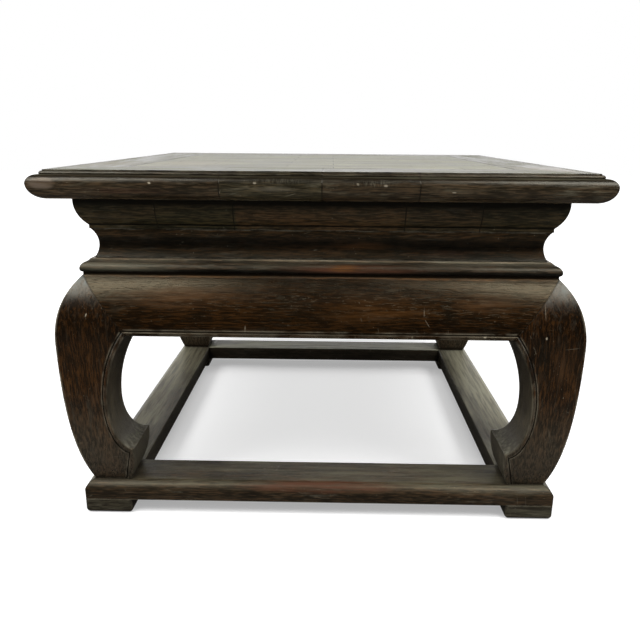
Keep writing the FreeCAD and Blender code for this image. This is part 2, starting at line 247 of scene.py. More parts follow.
def makeLamp(plan):
    data = bpy.data.lights.new(plan["name"], "AREA")
    data.shape = "RECTANGLE"
    data.size, data.size_y = plan["size"]
    data.energy = plan["power"]
    lamp = bpy.data.objects.new(plan["name"], data)
    place = Vector(plan["place"])
    aim = Vector(lampAim) - place
    lamp.matrix_world = Matrix.Translation(place) @ aim.to_track_quat("-Z", "Y").to_matrix().to_4x4()
    scene.collection.objects.link(lamp)


makeFloor(floorPlan)
makeSurroundings(skyPlan)
for lampPlan in lamps:
    makeLamp(lampPlan)
print("floor, surroundings and lamps made")


# shared effects; a noise is its waves per metre along and across the grain, detail, roughness and distortion,
# and a range is where a value starts and stops to change, then what it changes from and to
grainNoises = {"Figure": ((4, 17, 17), 3, 0.55, 0.8), "Mottle": ((26, 55, 55), 4, 0.6, 0.6),
               "Streak": ((13, 240, 240), 3, 0.6, 0.3), "Fibre": ((60, 620, 620), 2, 0.6),
               "Pores": ((75, 1500, 1500), 1)}
poreRange = (0.64, 0.72)


def makeGrain(noises):
    group, given, result = newGroup("timberGrain", [("Vector", "Vector")], list(noises))
    for name, settings in noises.items():
        value = noise(group, given["Vector"], *settings)
        if name == "Pores":
            value = ease(group, value, *poreRange)
        group.links.new(value, result[name])
    return group


rubAndHighlightPlan = {"bevelSamples": 4, "thinSamples": 8, "turned": (0.99, 0.86), "thin": (0.93, 0.72),
           "patches": ((35, 60, 60), 4, 0.65), "patchRange": (0.38, 0.62), "easedArris": 0.0008}


# lighter colour on convex edges and bead crests: wear, and a painted highlight too; the eased normal rounds
# the arrises in shading
def makeRub(plan):
    group, given, result = newGroup("rubbedEdgeAndHighlight", [("Vector", "Vector"), ("Width", "Float")],
                                    ["Rub", "Normal"])
    bevel = {"samples": plan["bevelSamples"]}
    rounded = addNode(group, "Bevel", bevel, {"Radius": given["Width"]}).outputs[0]
    likeness = vectorValue(group, "DOT_PRODUCT", rounded, addNode(group, "NewGeometry").outputs["Normal"])
    thin = addNode(group, "AmbientOcclusion", {"samples": plan["thinSamples"], "inside": True},
                   {"Distance": given["Width"]}).outputs["AO"]
    edge = calc(group, "MAXIMUM", ease(group, likeness, *plan["turned"]), ease(group, thin, *plan["thin"]))
    patchy = ease(group, noise(group, given["Vector"], *plan["patches"]), *plan["patchRange"])
    group.links.new(calc(group, "MULTIPLY", edge, patchy), result["Rub"])
    eased = addNode(group, "Bevel", bevel, {"Radius": plan["easedArris"]}).outputs[0]
    group.links.new(eased, result["Normal"])
    return group


grimeAndShadePlan = {"samples": 6, "range": (0.92, 0.4)}


# darkens hollows, creases and the undersides of overhangs by how closed in they are: grime, and painted shade
def makeGrime(plan):
    group, given, result = newGroup("hollowGrime", [("Distance", "Float")], ["Grime"])
    openness = addNode(group, "AmbientOcclusion", {"samples": plan["samples"]},
                       {"Distance": given["Distance"]}).outputs["AO"]
    group.links.new(ease(group, openness, *plan["range"]), result["Grime"])
    return group


# a pale film on upward faces, in patches and wiped streaks: dust, and on the legs' shoulders and on the top a
# painted highlight too
dustAndHighlightPlan = {"patches": ((6, 26, 26), 3, 0.6, 0.15), "patchRange": (0.36, 0.60, 0.3, 1.0),
            "wiped": ((10, 130, 130), 5, 0.72, 0.1), "wipedRange": (0.36, 0.60, 0.2, 1.0)}


def makeDust(plan):
    group, given, result = newGroup("dustAndHighlightFilm", [("Vector", "Vector"), ("Reach", "Float")], ["Dust"])
    facing = split(group, addNode(group, "NewGeometry").outputs["Normal"])["Z"]
    upward = ease(group, facing, given["Reach"], 1.0)
    patches = ease(group, noise(group, given["Vector"], *plan["patches"]), *plan["patchRange"])
    wiped = ease(group, noise(group, given["Vector"], *plan["wiped"]), *plan["wipedRange"])
    pale = calc(group, "MULTIPLY", upward, calc(group, "MULTIPLY", patches, wiped))
    group.links.new(pale, result["Dust"])
    return group


innerRange = (-0.03, -0.16)  # of the normal's dot with the place, so below 0 on faces that look at the middle


def makeInner():
    group, given, result = newGroup("innerFaces", [("Vector", "Vector"), ("Axes", "Vector")], ["Inner"])
    flat = vectorCalc(group, "MULTIPLY", given["Vector"], given["Axes"])
    facing = vectorValue(group, "DOT_PRODUCT", addNode(group, "NewGeometry").outputs["Normal"], flat)
    group.links.new(ease(group, facing, *innerRange), result["Inner"])
    return group


def makeSpot():
    inputs = [("Vector", "Vector"), ("Place", "Vector"), ("Turn", "Vector"), ("Size", "Vector"),
              ("Soft", "Float")]
    group, given, result = newGroup("placedSpot", inputs, ["Spot"])
    local = addNode(group, "Mapping", {"vector_type": "TEXTURE"},
                    {"Vector": given["Vector"], "Location": given["Place"], "Rotation": given["Turn"],
                     "Scale": given["Size"]}).outputs[0]
    inner = calc(group, "SUBTRACT", 1.0, given["Soft"])
    group.links.new(ease(group, vectorValue(group, "LENGTH", local), inner, 1.0, 1.0, 0.0), result["Spot"])
    return group


boardPlan = {"length": 0.163, "width": 0.047, "stagger": 0.37, "gap": 0.0007, "gapSoft": 0.3,
             "tones": (0.7, 1.4)}


def makeBoards(plan):
    group, given, result = newGroup("piecedBoards", [("Vector", "Vector")], ["Tone", "Seam"])
    inputs = {"Vector": given["Vector"], "Scale": 1.0, "Mortar Size": plan["gap"],
              "Mortar Smooth": plan["gapSoft"], "Brick Width": plan["length"], "Row Height": plan["width"],
              "Color1": grey(0.0), "Color2": grey(1.0), "Mortar": grey(0.5)}
    brick = addNode(group, "TexBrick", {"offset": plan["stagger"]}, inputs)
    group.links.new(brick.outputs["Color"], result["Tone"])
    group.links.new(brick.outputs["Fac"], result["Seam"])
    return group


scuffPlan = {"lines": ((0.3, (8, 420, 420)), (1.9, (10, 520, 520)), (-0.7, (14, 600, 600))),  # turn, waves
             "tilt": 0.6, "lineDetail": 1, "lineRange": (0.72, 0.78), "where": ((14, 14, 14), 2),
             "whereRange": (0.52, 0.66), "specks": ((330, 330, 330), 1), "speckRange": (0.76, 0.82),
             "clouds": ((22, 190, 190), 5, 0.72, 0.6), "cloudRange": (0.50, 0.68),
             "spread": ((12, 30, 30), 3, 0.6, 0.4), "spreadRange": (0.42, 0.62)}


def makeScuffs(plan):
    group, given, result = newGroup("scuffs", [("Vector", "Vector")], ["Scuff", "Haze"])
    fine = ease(group, noise(group, given["Vector"], *plan["specks"]), *plan["speckRange"])
    for turn, waves in plan["lines"]:
        rotation = (turn, turn * plan["tilt"], turn)
        turned = addNode(group, "Mapping", None, {"Vector": given["Vector"], "Rotation": rotation}).outputs[0]
        line = ease(group, noise(group, turned, waves, plan["lineDetail"]), *plan["lineRange"])
        where = ease(group, noise(group, turned, *plan["where"]), *plan["whereRange"])
        fine = calc(group, "MAXIMUM", fine, calc(group, "MULTIPLY", line, where))
    group.links.new(fine, result["Scuff"])
    cloudy = ease(group, noise(group, given["Vector"], *plan["clouds"]), *plan["cloudRange"])
    spread = ease(group, noise(group, given["Vector"], *plan["spread"]), *plan["spreadRange"])
    group.links.new(calc(group, "MULTIPLY", cloudy, spread), result["Haze"])
    return group


rimPlan = {"outer": 0.3185, "fade": 0.016, "outerShare": 0.85, "panel": 0.239, "band": 0.006, "line": 0.0008,
           "panelShare": 0.5, "upward": (0.6, 0.95)}  # metres from the middle of the top


# painted shade: a dark rim along the top's outer edge on upward faces; also a darker band along the panel's
# edge
def makeTopLines(plan):
    group, given, result = newGroup("topLines", [("Vector", "Vector")], ["Line", "Level"])
    part = split(group, vectorCalc(group, "ABSOLUTE", given["Vector"]))
    ring = calc(group, "MAXIMUM", part["X"], part["Y"])
    facing = split(group, addNode(group, "NewGeometry").outputs["Normal"])["Z"]
    upward = ease(group, facing, *plan["upward"])
    rim = ease(group, ring, plan["outer"] - plan["fade"], plan["outer"], 0.0, plan["outerShare"])
    gap = calc(group, "ABSOLUTE", calc(group, "SUBTRACT", ring, plan["panel"]))
    band = ease(group, gap, plan["band"], plan["line"], 0.0, plan["panelShare"])
    group.links.new(calc(group, "MULTIPLY", calc(group, "MAXIMUM", rim, band), upward), result["Line"])
    group.links.new(upward, result["Level"])
    return group


jointPlan = {"neck": 0.2895, "neckLevel": 0.321, "kneeReach": 0.0555, "fall": 0.0695,
             "fade": 2.0}  # where leg and apron meet, in metres, and the widths over which the line fades


def makeJoints(plan):
    group, given, result = newGroup("jointLines", [("Vector", "Vector"), ("Width", "Float")],
                                    ["Square", "Sloped"])
    part = split(group, vectorCalc(group, "ABSOLUTE", given["Vector"]))
    slope = plan["kneeReach"] / plan["fall"]
    line = calc(group, "MULTIPLY_ADD", part["Z"], slope, plan["neck"] - slope * plan["neckLevel"])
    offX, offY = (calc(group, "ABSOLUTE", calc(group, "SUBTRACT", part[side], line)) for side in ("X", "Y"))
    square = calc(group, "ABSOLUTE", calc(group, "SUBTRACT", part["X"], part["Y"]))
    far = calc(group, "MULTIPLY", given["Width"], plan["fade"])
    for name, value in (("Square", square), ("Sloped", calc(group, "MINIMUM", offX, offY))):
        group.links.new(ease(group, value, given["Width"], far, 1.0, 0.0), result[name])
    return group


grainGroup = makeGrain(grainNoises)
rubAndHighlightGroup = makeRub(rubAndHighlightPlan)
grimeAndShadeGroup = makeGrime(grimeAndShadePlan)
dustAndHighlightGroup = makeDust(dustAndHighlightPlan)
innerGroup = makeInner()
spotGroup = makeSpot()
boardGroup = makeBoards(boardPlan)
scuffGroup = makeScuffs(scuffPlan)
topLineGroup = makeTopLines(rimPlan)
jointGroup = makeJoints(jointPlan)
print("shared effects made")


commonFinish = {"wornAndHighlight": (0.16, 0.14, 0.10), "filmRough": 0.14, "rubAndHighlightWidth": 0.0018, "grimeAndShade": 0.9,
                "grimeAndShadeReach": 0.008, "sheen": (1.0, 0.95, 0.78)}
finishes = {  # by the record's material slot, where it differs from the common finish
    "frame_wood": {"dark": (0.009, 0.006, 0.003), "body": (0.028, 0.022, 0.013),
                   "warm": (0.062, 0.040, 0.021), "wornAndHighlight": (0.19, 0.17, 0.115),
                   "dustAndHighlight": (0.200, 0.202, 0.122), "inner": (0.02, 0.016, 0.010), "dustAndHighlightAmount": 0.85,
                   "dustAndHighlightReach": 0.8, "filmRough": 0.27, "haze": 0.3, "roughness": 0.29, "rubAndHighlight": 0.7,
                   "gloss": 0.3},
    "panel_wood": {"dark": (0.014, 0.013, 0.008), "body": (0.040, 0.034, 0.020),
                   "warm": (0.065, 0.050, 0.029), "wornAndHighlight": (0.17, 0.16, 0.11),
                   "dustAndHighlight": (0.330, 0.322, 0.205), "inner": (0.04, 0.032, 0.02), "dustAndHighlightAmount": 0.9,
                   "dustAndHighlightReach": 0.1, "haze": 0.3, "roughness": 0.38, "rubAndHighlight": 0.4, "grimeAndShade": 0.7,
                   "gloss": 0.5},
    # the mouldings' wider reach also paints shade under the top's nose
    "moulding_wood": {"dark": (0.007, 0.005, 0.0025), "body": (0.0235, 0.0190, 0.0095),
                      "warm": (0.050, 0.029, 0.013), "wornAndHighlight": (0.14, 0.125, 0.09),
                      "dustAndHighlight": (0.08, 0.076, 0.055), "inner": (0.02, 0.014, 0.009), "dustAndHighlightAmount": 0.4,
                      "dustAndHighlightReach": 0.05, "haze": 0.15, "roughness": 0.30, "rubAndHighlight": 0.6,
                      "grimeAndShadeReach": 0.03, "gloss": 0.2},
    "apron_wood": {"dark": (0.0045, 0.0022, 0.0008), "body": (0.0125, 0.0048, 0.0010),
                   "warm": (0.034, 0.0135, 0.0032), "dustAndHighlight": (0.094, 0.080, 0.062),
                   "inner": (0.022, 0.015, 0.009), "dustAndHighlightAmount": 0.28, "dustAndHighlightReach": 0.3, "haze": 0.08,
                   "roughness": 0.25, "rubAndHighlight": 0.55, "rubAndHighlightWidth": 0.003, "gloss": 0.30,
                   "sheen": (1.0, 0.84, 0.54)},
    "leg_wood": {"dark": (0.0045, 0.0022, 0.0008), "body": (0.0160, 0.0056, 0.0009),
                 "warm": (0.042, 0.0165, 0.0035), "dustAndHighlight": (0.120, 0.160, 0.168),
                 "inner": (0.033, 0.0275, 0.0155), "dustAndHighlightAmount": 1.5, "dustAndHighlightReach": 0.3, "haze": 0.08,
                 "roughness": 0.25, "rubAndHighlight": 0.7, "rubAndHighlightWidth": 0.003, "gloss": 0.38,
                 "sheen": (1.0, 0.88, 0.68)},
    "base_wood": {"dark": (0.008, 0.005, 0.0025), "body": (0.026, 0.0180, 0.0090),
                  "warm": (0.058, 0.031, 0.014), "dustAndHighlight": (0.21, 0.197, 0.135), "inner": (0.02, 0.016, 0.010),
                  "dustAndHighlightAmount": 0.85, "dustAndHighlightReach": 0.2, "haze": 0.3, "roughness": 0.38, "rubAndHighlight": 0.5,
                  "grimeAndShade": 0.8, "gloss": 0.25},
    "batten_wood": {"dark": (0.05, 0.030, 0.018), "body": (0.11, 0.070, 0.042), "warm": (0.15, 0.095, 0.055),
                    "wornAndHighlight": (0.22, 0.17, 0.12), "dustAndHighlight": (0.16, 0.14, 0.11), "inner": (0.10, 0.065, 0.04),
                    "dustAndHighlightAmount": 0.3, "dustAndHighlightReach": 0.2, "haze": 0.1, "roughness": 0.62, "rubAndHighlight": 0.3,
                    "grimeAndShade": 0.6, "grimeAndShadeReach": 0.012, "gloss": 0.3}}
ownFinishes = {  # by the start of a node's name, where it differs from its slot
    "waist": {"dark": (0.004, 0.0026, 0.0012), "body": (0.0125, 0.0082, 0.0036),
              "warm": (0.030, 0.0145, 0.0052)},
    "lower_moulding": {"dark": (0.010, 0.007, 0.004), "body": (0.042, 0.033, 0.021),
                       "warm": (0.085, 0.050, 0.027), "wornAndHighlight": (0.22, 0.20, 0.15),
                       "dustAndHighlight": (0.172, 0.157, 0.108), "dustAndHighlightAmount": 0.45, "dustAndHighlightReach": -0.1, "haze": 0.3,
                       "roughness": 0.32, "rubAndHighlight": 0.7, "rubAndHighlightWidth": 0.0022, "grimeAndShadeReach": 0.008,
                       "gloss": 0.24},
    "base_rail_front": {"dustAndHighlight": (0.098, 0.088, 0.055)},
    # the right and rear rails are paler
    "base_rail_right": {"dustAndHighlight": (0.300, 0.285, 0.210)},
    "base_rail_rear": {"dustAndHighlight": (0.520, 0.505, 0.360), "body": (0.070, 0.057, 0.036)},
    "foot": {"body": (0.0250, 0.0235, 0.0155), "warm": (0.042, 0.034, 0.020)}}


def finishOf(node, slot):
    finish = {**commonFinish, **finishes[slot]}
    for name, changes in ownFinishes.items():
        if node.startswith(name):
            finish.update(changes)
    return finish


sides = {"front": (1, 0, 0), "right": (0, 1, 0), "rear": (-1, 0, 0), "left": (0, -1, 0)}
blockPlan = {"reach": 0.34, "plain": 0.5, "reddening": 0.18, "yellowing": 0.16, "seam": (0.0009, 0.0004)}
blocks = {  # butt joints along a side, in metres from its middle, and each block's tone and warmth
    "top_rail_front": ((-0.1131, 0.0023, 0.1116),
                       ((0.48, 0.3), (0.56, -0.5), (0.42, 0.5), (0.52, 0.2))),
    "top_rail_right": ((-0.152, -0.021, 0.138),
                       ((0.5, 0.0), (0.42, 0.4), (0.56, -0.3), (0.46, 0.2))),
    "top_rail_rear": ((-0.168, -0.046, 0.094),
                      ((0.44, 0.3), (0.54, -0.4), (0.48, 0.1), (0.57, 0.3))),
    "top_rail_left": ((-0.124, 0.037, 0.171),
                      ((0.54, -0.2), (0.45, 0.5), (0.5, 0.0), (0.43, 0.3))),
    "upper_moulding_front": ((-0.1963, -0.1035, 0.1011, 0.1914),
                             ((0.47, -0.5), (0.49, -0.7), (0.52, 0.8), (0.51, 0.2), (0.50, -0.4))),
    "upper_moulding_right": ((-0.184, -0.071, 0.082, 0.203),
                             ((0.46, -0.5), (0.56, 0.7), (0.4, -0.3), (0.5, 0.4), (0.44, -0.6))),
    "upper_moulding_rear": ((-0.205, -0.088, 0.064, 0.187),
                            ((0.5, 0.2), (0.42, -0.6), (0.58, 0.8), (0.46, -0.2), (0.4, -0.8))),
    "upper_moulding_left": ((-0.176, -0.094, 0.113, 0.198),
                            ((0.42, -0.7), (0.53, 0.6), (0.45, -0.4), (0.58, 0.9), (0.47, 0.0)))}


def blockColour(tone, warmth):
    red = tone * (1 + blockPlan["reddening"] * warmth)
    blue = tone * (1 - blockPlan["yellowing"] * abs(warmth))
    return colour((red, tone, blue))


def blockTones(tree, place, side, cuts, tones):
    along = vectorValue(tree, "DOT_PRODUCT", place, sides[side])
    reach = blockPlan["reach"]
    starts = [0.0] + [(cut + reach) / (2 * reach) for cut in cuts]
    stops = [(at, blockColour(*tone)) for at, tone in zip(starts, tones)]
    nearest = None
    for cut in cuts:
        off = calc(tree, "ABSOLUTE", calc(tree, "SUBTRACT", along, cut))
        nearest = off if nearest is None else calc(tree, "MINIMUM", nearest, off)
    tone = newRamp(tree, share(tree, along, -reach, reach), stops, "CONSTANT")
    return tone, ease(tree, nearest, *blockPlan["seam"])


# painted light and shade by level: the families whose low and high levels bound a ramp, then shares of its
# height with a tone; the tones paint shade under overhangs and in hollows, lit bands on rounds and highlight
# lines along edges
paintedLightLevels = {
    "top_rail": ("top_rail", 0, "top_rail", 1,
                 ((0.0, 1.9), (0.04, 1.7), (0.08, 0.7), (0.2, 1.2), (0.45, 1.3), (0.6, 1.0), (0.68, 0.6),
                  (0.78, 0.4), (0.80, 0.5), (0.815, 2.2), (0.84, 2.4), (0.87, 1.6), (0.88, 0.8), (0.92, 0.8),
                  (0.95, 1.3), (0.965, 0.3), (0.995, 0.3), (1.0, 1.0))),
    "upper_moulding": ("upper_moulding", 0, "top_rail", 0,
                       ((0.0, 0.8), (0.04, 1.3), (0.1, 2.0), (0.12, 0.15), (0.16, 0.2), (0.19, 1.2),
                        (0.5, 1.25), (0.72, 1.1), (0.79, 0.45), (0.85, 0.12), (1.0, 0.05))),
    "waist": ("lower_moulding", 1, "upper_moulding", 0,
              ((0.0, 0.1), (0.03, 0.1), (0.06, 1.5), (0.22, 1.9), (0.36, 0.8), (0.5, 0.45), (0.64, 0.7),
               (0.8, 2.4), (0.95, 2.2), (1.0, 0.4))),
    "lower_moulding": ("apron", 1, "lower_moulding", 1,
                       ((0.0, 0.02), (0.28, 0.05), (0.38, 0.7), (0.5, 0.9), (0.75, 0.75), (0.88, 0.8),
                        (0.94, 2.6), (1.0, 3.0))),
    "apron": ("apron", 0, "apron", 1,
              ((0.0, 0.7), (0.1, 0.6), (0.3, 1.08), (0.6, 1.02), (0.82, 0.7), (0.925, 0.52), (0.94, 3.0),
               (0.958, 2.6), (0.972, 0.2), (1.0, 0.1))),
    "leg": ("base_rail", 1, "apron", 1,
            ((0.0, 0.3), (0.02, 0.9), (0.3, 1.35), (0.55, 1.35), (0.75, 0.85), (0.9, 0.95), (1.0, 0.95))),
    "base_rail": ("base_rail", 0, "base_rail", 1,
                  ((0.0, 0.6), (0.1, 0.9), (0.6, 0.95), (0.8, 1.0), (0.85, 1.7), (0.89, 1.0), (0.98, 0.9),
                   (1.0, 1.0)))}
paintedLightPlan = {"scale": 4.0,  # a ramp's colours stay under 1, so its tones are held as shares of this
             "mottleMiddle": 0.5, "uneven": 0.05, "topSkin": 0.0001}


def paintedLightTones(tree, place, grain, lowFamily, lowCorner, highFamily, highCorner, stops):
    scale = paintedLightPlan["scale"]
    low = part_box(lowFamily + "_front")[lowCorner][2]
    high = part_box(highFamily + "_front")[highCorner][2]
    level = split(tree, place)["Z"]
    uneven = calc(tree, "SUBTRACT", grain["Mottle"], paintedLightPlan["mottleMiddle"])
    uneven = calc(tree, "MULTIPLY", uneven, paintedLightPlan["uneven"] * (high - low))
    inside = calc(tree, "LESS_THAN", level, high - paintedLightPlan["topSkin"])
    level = calc(tree, "ADD", level, calc(tree, "MULTIPLY", uneven, inside))
    tone = newRamp(tree, share(tree, level, low, high), [(at, grey(tone / scale)) for at, tone in stops])
    return vectorCalc(tree, "MULTIPLY", tone, (scale, scale, scale))


markPlan = {"broken": (0.40, 0.60, 0.35, 1.0), "comb": ((950, 60, 160), 3, 0.7), "combRange": (0.46, 0.66)}
# shade marks paint shade in the legs' curled hollows and along the middle of the nose, the apron and the
# lower moulding; elsewhere they are dark blotches
markColours = {"chip": (0.30, 0.26, 0.19), "line": (0.22, 0.19, 0.14), "crack": (0.004, 0.003, 0.002),
               "orange": (0.115, 0.045, 0.010), "tan": (0.115, 0.085, 0.062),
               "reddish": (0.070, 0.026, 0.013), "shade": (0.005, 0.0035, 0.0018),
               "comb": (0.20, 0.185, 0.135), "pale": (0.37, 0.35, 0.245), "blush": (0.255, 0.195, 0.150),
               "umber": (0.060, 0.028, 0.011)}
marks = {  # place, half sizes, turn about y, softness, colour and strength of each mark
    "leg_front_left": [((-0.2809, -0.32, 0.2763), (0.0013, 0.01, 0.0034), 0.35, 0.5, "chip", 0.9),
                       ((-0.272, -0.305, 0.3095), (0.0006, 0.03, 0.0087), -0.62, 0.6, "crack", 0.9),
                       ((-0.2803, -0.31, 0.1564), (0.0022, 0.02, 0.0018), 0.0, 0.6, "crack", 0.8),
                       # painted shade in the curl's hollow
                       ((-0.2400, -0.28, 0.1130), (0.0340, 0.09, 0.0300), 0.6, 0.9, "shade", 1.0),
                       ((-0.2900, -0.32, 0.2650), (0.0120, 0.05, 0.0220), 0.0, 0.9, "shade", 0.45)],
    "apron_front": [((-0.0889, -0.319, 0.2609), (0.0007, 0.01, 0.0066), 0.04, 0.6, "line", 0.7),
                    ((0.1115, -0.319, 0.2547), (0.0015, 0.01, 0.0020), 0.0, 0.6, "chip", 0.7),
                    ((0.1291, -0.319, 0.2712), (0.0007, 0.02, 0.0062), -0.58, 0.6, "line", 0.6),
                    ((0.1254, -0.319, 0.2840), (0.0006, 0.02, 0.0080), 0.02, 0.7, "line", 0.6),
                    ((0.1983, -0.319, 0.2559), (0.0025, 0.01, 0.0020), 0.0, 0.6, "chip", 0.8),
                    ((0.1290, -0.319, 0.2950), (0.0140, 0.03, 0.0110), 0.3, 0.9, "shade", 0.75),
                    ((0.1560, -0.319, 0.2780), (0.0130, 0.03, 0.0120), 0.0, 0.9, "shade", 0.8),
                    ((-0.2440, -0.315, 0.2830), (0.0130, 0.04, 0.0170), 0.5, 0.9, "shade", 0.7),
                    ((-0.1450, -0.319, 0.2740), (0.0260, 0.03, 0.0100), 0.0, 0.9, "shade", 0.6),
                    # painted shade along the middle of the apron
                    ((0.0050, -0.316, 0.3090), (0.0900, 0.03, 0.0140), 0.0, 0.9, "shade", 0.55),
                    ((0.0000, -0.319, 0.2850), (0.1200, 0.05, 0.0300), 0.0, 0.9, "shade", 0.5),
                    ((-0.1700, -0.316, 0.2980), (0.0950, 0.05, 0.0190), 0.0, 0.9, "umber", 0.75),
                    ((0.2000, -0.316, 0.2950), (0.0500, 0.05, 0.0170), 0.0, 0.9, "umber", 0.6),
                    ((0.0700, -0.318, 0.2850), (0.0900, 0.05, 0.0200), 0.0, 0.9, "orange", 0.26)],
    "leg_front_right": [((0.2722, -0.31, 0.3090), (0.0007, 0.03, 0.0070), 0.50, 0.6, "line", 0.7),
                        ((0.2694, -0.318, 0.2890), (0.0007, 0.02, 0.0150), -0.04, 0.6, "line", 0.7),
                        ((0.2722, -0.32, 0.2547), (0.0018, 0.01, 0.0022), 0.0, 0.6, "chip", 0.7),
                        # painted shade in the curl's hollow
                        ((0.2400, -0.28, 0.1130), (0.0340, 0.09, 0.0300), -0.6, 0.9, "shade", 1.0),
                        ((0.2950, -0.32, 0.2150), (0.0140, 0.05, 0.0300), 0.0, 0.9, "umber", 0.5)],
    "top_rail_front": [((-0.3110, -0.33, 0.4325), (0.0180, 0.03, 0.0080), 0.0, 0.4, "tan", 0.9),
                       ((-0.1900, -0.33, 0.4340), (0.0022, 0.01, 0.0014), 0.3, 0.5, "chip", 0.9),
                       ((-0.1127, -0.33, 0.4240), (0.0012, 0.01, 0.0024), 0.0, 0.5, "chip", 0.9),
                       ((-0.0725, -0.33, 0.4350), (0.0024, 0.01, 0.0016), 0.0, 0.5, "chip", 0.9),
                       ((0.0420, -0.33, 0.4345), (0.0020, 0.01, 0.0016), 0.5, 0.5, "chip", 0.9),
                       ((0.0730, -0.33, 0.4330), (0.0030, 0.01, 0.0018), 0.0, 0.6, "chip", 0.7),
                       ((0.1118, -0.33, 0.4350), (0.0006, 0.01, 0.0030), 0.2, 0.5, "chip", 0.8),
                       ((0.1490, -0.33, 0.4262), (0.0030, 0.01, 0.0008), 0.0, 0.5, "chip", 0.9),
                       ((-0.0400, -0.33, 0.4380), (0.0420, 0.03, 0.0065), 0.0, 0.9, "comb", 0.28),
                       ((0.0620, -0.33, 0.4350), (0.0400, 0.03, 0.0055), 0.0, 0.9, "comb", 0.28),
                       ((-0.2200, -0.33, 0.4250), (0.0700, 0.03, 0.0045), 0.0, 0.9, "reddish", 0.5),
                       ((-0.0500, -0.33, 0.4280), (0.0350, 0.03, 0.0040), 0.0, 0.9, "line", 0.3),
                       # painted shade along the middle of the nose
                       ((0.0000, -0.33, 0.4370), (0.2000, 0.03, 0.0110), 0.0, 0.9, "shade", 0.3)],
    "lower_moulding_front": [((-0.2450, -0.30, 0.3300), (0.0900, 0.06, 0.0200), 0.0, 0.9, "pale", 0.12),
                             # painted shade along the middle of the lower moulding
                             ((0.0700, -0.29, 0.3305), (0.2100, 0.06, 0.0130), 0.0, 0.8, "shade", 0.75),
                             ((0.0450, -0.29, 0.3305), (0.1150, 0.04, 0.0070), 0.0, 0.8, "reddish", 1.0),
                             ((0.0300, -0.29, 0.3315), (0.0260, 0.04, 0.0055), 0.0, 0.8, "orange", 0.9)],
    "waist_front": [((0.0500, -0.27, 0.3560), (0.0500, 0.06, 0.0065), 0.0, 0.9, "orange", 0.28),
                    ((0.1500, -0.27, 0.3470), (0.0500, 0.06, 0.0050), 0.0, 0.9, "reddish", 0.35)],
    "top_panel": [((-0.1800, -0.1400, 0.447), (0.0900, 0.1000, 0.02), 0.0, 0.9, "blush", 0.5),
                  ((0.0800, -0.0500, 0.447), (0.1200, 0.0500, 0.02), 0.0, 0.9, "shade", 0.12)],
    "top_rail_right": [((0.2800, -0.2300, 0.450), (0.0600, 0.1100, 0.02), 0.0, 0.9, "blush", 0.6)],
    "top_rail_left": [((-0.2800, -0.1700, 0.450), (0.0600, 0.1100, 0.02), 0.0, 0.9, "blush", 0.4)],
    # pale marks lighten the side and rear rails, a foot and the lower moulding's left end
    "base_rail_left": [((-0.2950, 0.1600, 0.050), (0.0600, 0.2300, 0.04), 0.0, 0.8, "pale", 0.62)],
    "base_rail_right": [((0.2950, 0.1000, 0.050), (0.0600, 0.3400, 0.04), 0.0, 0.7, "pale", 0.95)],
    "foot_front_right": [((0.2780, -0.32, 0.0120), (0.0700, 0.06, 0.0300), 0.0, 0.8, "pale", 0.06)],
    "base_rail_rear": [((0.0, 0.2950, 0.050), (0.3000, 0.0400, 0.02), 0.0, 0.5, "pale", 0.5)],
    "base_rail_front": [((0.0000, -0.3125, 0.0445), (0.1500, 0.022, 0.0130), 0.0, 0.5, "reddish", 1.0),
                        ((0.0951, -0.281, 0.0455), (0.0545, 0.0011, 0.01), 0.0, 0.6, "crack", 0.8),
                        ((0.0300, -0.303, 0.0455), (0.1100, 0.007, 0.01), 0.0, 0.8, "reddish", 0.5)]}


def placedMarks(tree, place, base, spots, grain):
    for centre, size, turn, soft, name, strength in spots:
        given = {"Vector": place, "Place": centre, "Turn": (0, turn, 0), "Size": size, "Soft": soft}
        spot = calc(tree, "MULTIPLY", useGroup(tree, spotGroup, given)["Spot"], strength)
        if name == "comb":
            broken = ease(tree, noise(tree, place, *markPlan["comb"]), *markPlan["combRange"])
        else:
            broken = ease(tree, grain, *markPlan["broken"])
        base = cover(tree, base, spot, broken, colour(markColours[name]))
    return base


grainLayers = (  # a grain value, its range and the colour that it brings
    ("Figure", (0.32, 0.54, 0.0, 1.0), "body"), ("Figure", (0.48, 0.68, 0.0, 0.7), "warm"),
    ("Mottle", (0.50, 0.36, 0.0, 0.45), "dark"), ("Mottle", (0.50, 0.66, 0.0, 0.35), "warm"),
    ("Streak", (0.50, 0.38, 0.0, 0.45), "dark"), ("Streak", (0.52, 0.66, 0.0, 0.35), "warm"),
    ("Fibre", (0.52, 0.42, 0.0, 0.75), "dark"), ("Fibre", (0.53, 0.62, 0.0, 0.5), "warm"))
woodPlan = {"pores": 0.7, "innerStreak": (0.40, 0.58, 0.75, 0.0), "innerFibre": (0.52, 0.42, 0.0, 0.6),
            "innerShare": 0.8, "piecedDustAndHighlight": (0.2, 0.8, 0.66, 1.0), "scuffs": 0.45,
            "quietWidth": 0.0022, "seamWidth": 0.0006, "seamRange": (0.4, 0.6, 0.45, 1.0)}
roughPlan = {"streak": 0.2, "haze": 0.12, "top": 0.03, "inner": 0.3, "grimeAndShade": 0.3}
heightPlan = {"streak": 0.9, "fibre": 0.5, "pores": -0.6, "scuffs": -0.4, "seams": -0.8}
bumpPlan = {"Strength": 0.3, "Distance": 0.0007}
legPlan = {"lowDust": (0.128, 0.122, 0.090), "lowRange": (0.14, 0.22),
           "kickedRange": (0.19, 0.08, 0.0, 0.20), "kickedFibre": (0.40, 0.60, 0.5, 1.0)}


def grainColour(tree, grain, tints):
    base = tints["dark"]
    for name, span, tint in grainLayers:
        base = mixColour(tree, ease(tree, grain[name], *span), base, tints[tint])
    return cover(tree, base, grain["Pores"], woodPlan["pores"], tints["dark"])


